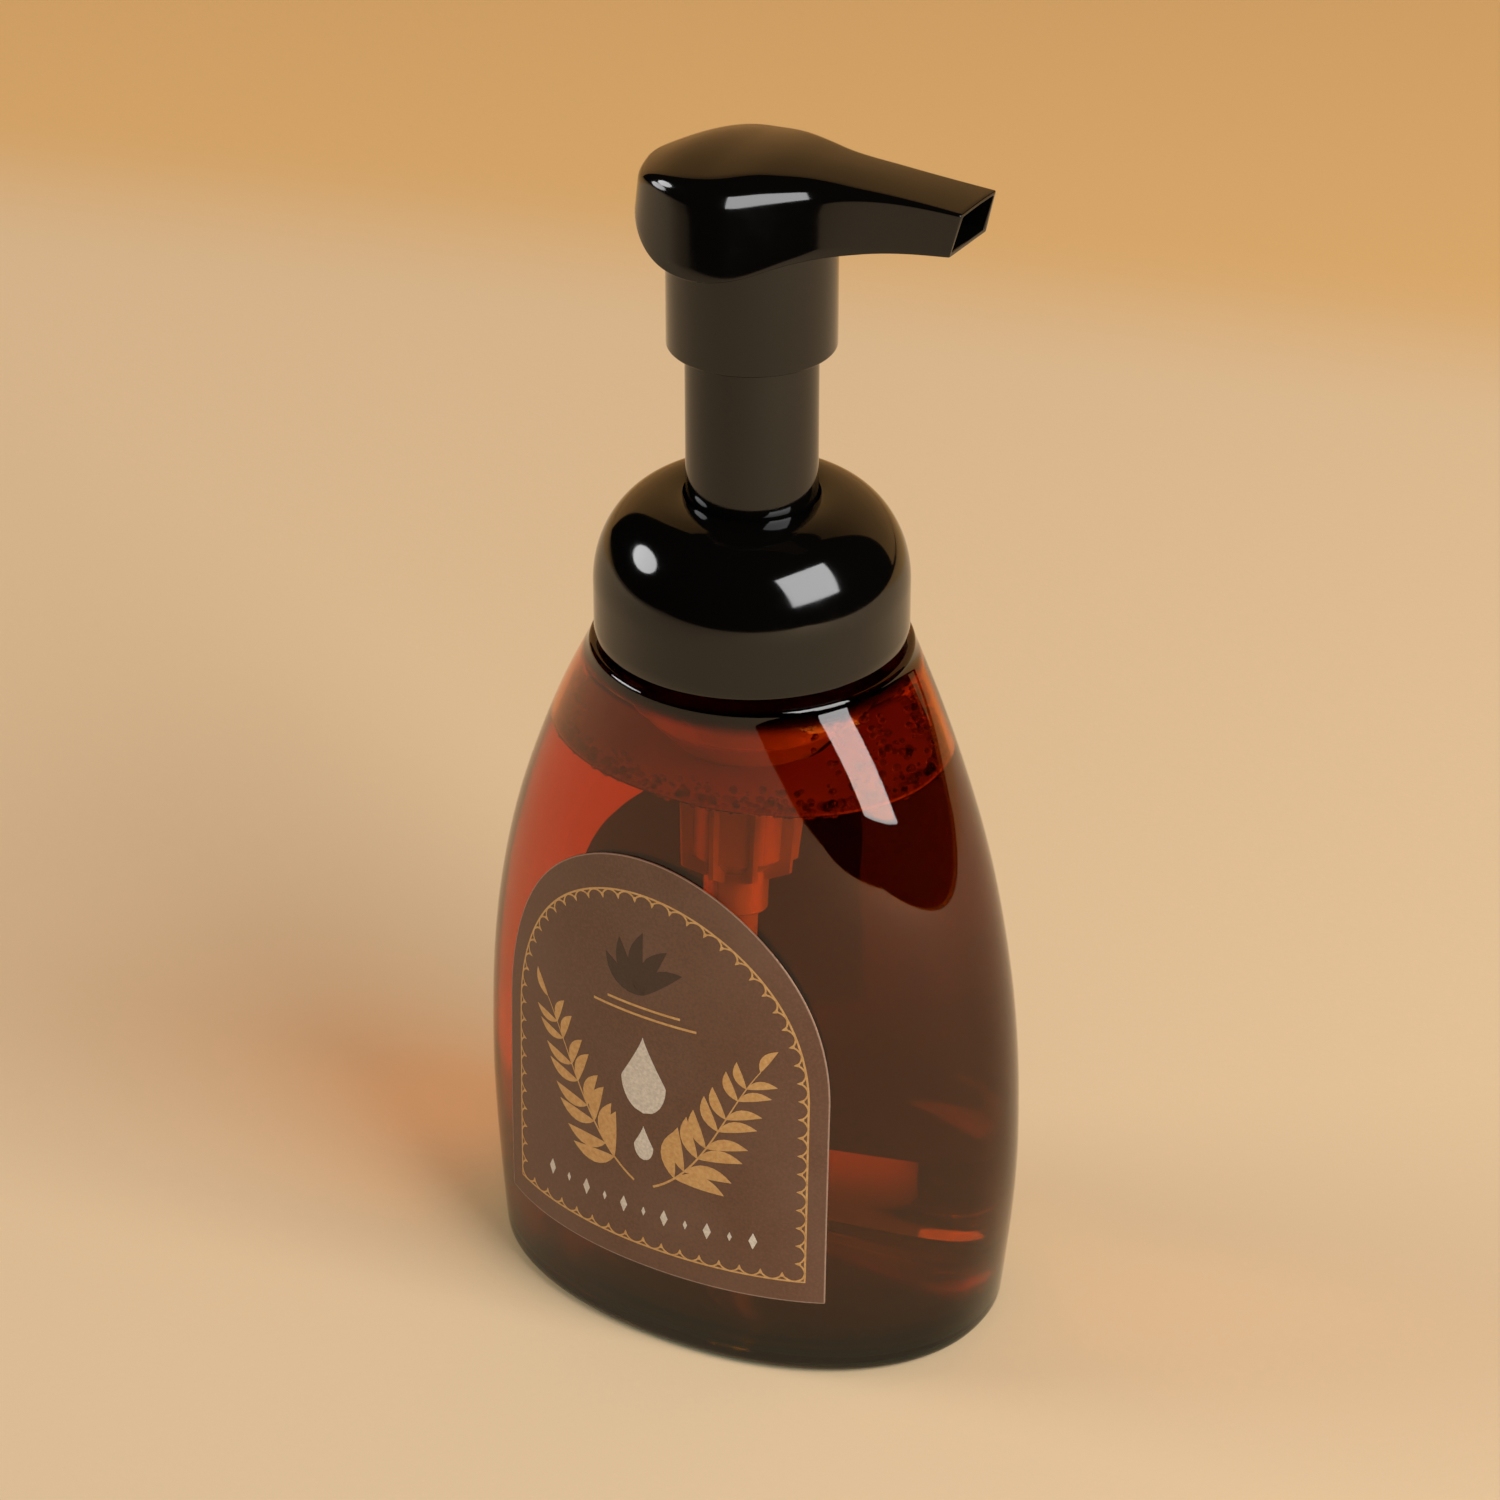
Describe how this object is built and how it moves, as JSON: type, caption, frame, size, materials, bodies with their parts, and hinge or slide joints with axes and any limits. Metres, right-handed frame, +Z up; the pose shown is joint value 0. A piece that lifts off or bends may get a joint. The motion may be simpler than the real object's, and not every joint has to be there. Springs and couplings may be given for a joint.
{
  "type": "foaming soap pump dispenser",
  "caption": "Oval amber bottle with a screw-on foam pump: sprung pump head with a side spout, domed collar, and valves, pistons and meshes inside.",
  "frame": {"origin": "centre of the bottle's base, on the pump's axis, in the plane it stands on", "axes": "+Z up along the pump's axis, +X along the bottle's long axis and the spout's direction, -Y out of the front label"},
  "size_m": [0.0826, 0.0542, 0.1747],
  "materials": {
    "amber_plastic": "clear amber, high gloss",
    "label_film": "printed brown film, satin",
    "black_plastic": "moulded black, glossy",
    "natural_plastic": "translucent natural plastic",
    "white_plastic": "moulded white, satin",
    "seal_rubber": "soft seal, matte",
    "pale_rubber": "soft pale seal, matte",
    "spring_steel": "bright drawn wire",
    "ball_steel": "polished ball",
    "gauze": "fine woven gauze"
  },
  "bodies": {
    "bottle": {"bottle": "amber_plastic", "front_label": "label_film", "back_label": "label_film"},
    "pump": {"neck_gasket": "pale_rubber", "pump_housing": "natural_plastic", "pump_lid": "black_plastic", "dip_tube": "natural_plastic", "ball_cage": "white_plastic", "stem_wiper": "pale_rubber", "return_spring": "spring_steel"},
    "collar": {"screw_collar": "black_plastic"},
    "plunger": {"air_piston": "white_plastic", "air_valve_ring": "seal_rubber", "liquid_piston": "white_plastic", "piston_seal": "seal_rubber", "ball_stop": "white_plastic", "stem": "white_plastic", "mesh_cartridge": "white_plastic", "lower_mesh": "gauze", "upper_mesh": "gauze"},
    "head": {"pump_head": "black_plastic"},
    "suction_ball": {"inlet_ball": "ball_steel"},
    "delivery_ball": {"outlet_ball": "ball_steel"}
  },
  "joints": [
    {"name": "pump_lift", "type": "slide", "parent": "bottle", "child": "pump", "axis": [0, 0, 1], "range_m": [0, 0.00423]},
    {"name": "collar_turn", "type": "hinge", "parent": "pump", "child": "collar", "pos_m": [0, 0, 0.11], "axis": [0, 0, 1], "range_deg": [0, 360]},
    {"name": "head_press", "type": "slide", "parent": "pump", "child": "plunger", "axis": [0, 0, 1], "range_m": [-0.016, 0], "stiffness_N_per_m": 500, "springref_m": 0.012, "deforming": ["return_spring"]},
    {"name": "head_turn", "type": "hinge", "parent": "plunger", "child": "head", "pos_m": [0, 0, 0.16], "axis": [0, 0, 1], "continuous": true},
    {"name": "inlet_ball_lift", "type": "slide", "parent": "pump", "child": "suction_ball", "axis": [0, 0, 1], "range_m": [0, 0.0009]},
    {"name": "outlet_ball_lift", "type": "slide", "parent": "plunger", "child": "delivery_ball", "axis": [0, 0, 1], "range_m": [0, 0.0009]}
  ],
  "couplings": [
    {"joint": "collar_turn", "follows": "pump_lift", "rad_per_m": 1484.3}
  ]
}
